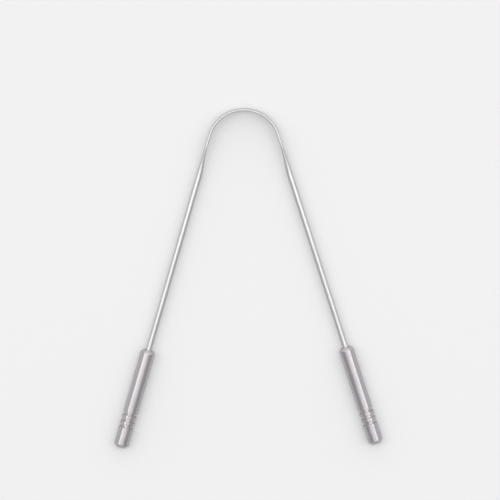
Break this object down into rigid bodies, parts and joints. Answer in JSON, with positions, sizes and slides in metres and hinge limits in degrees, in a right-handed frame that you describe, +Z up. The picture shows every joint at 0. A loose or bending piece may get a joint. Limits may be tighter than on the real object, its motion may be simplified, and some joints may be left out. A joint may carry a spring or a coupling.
{
  "type": "tongue scraper",
  "caption": "Springy stainless steel wire bow, rolled flat over its arch to scrape the tongue, with turned and grooved metal grips on the ends of its legs.",
  "frame": {"origin": "centre of the bounding box, on the surface that the scraper lies on", "axes": "+X across the legs to the right, +Y from the handles towards the arch, +Z up, square to the plane of the bow"},
  "size_m": [0.111, 0.1404, 0.006],
  "materials": {
    "bow_steel": "polished stainless steel wire, with fine drawing lines along it",
    "handle_steel": "satin stainless steel, fine turning lines around it"
  },
  "bodies": {
    "root": {"scraper_bow": "bow_steel", "left_handle": "handle_steel", "right_handle": "handle_steel"}
  },
  "joints": []
}
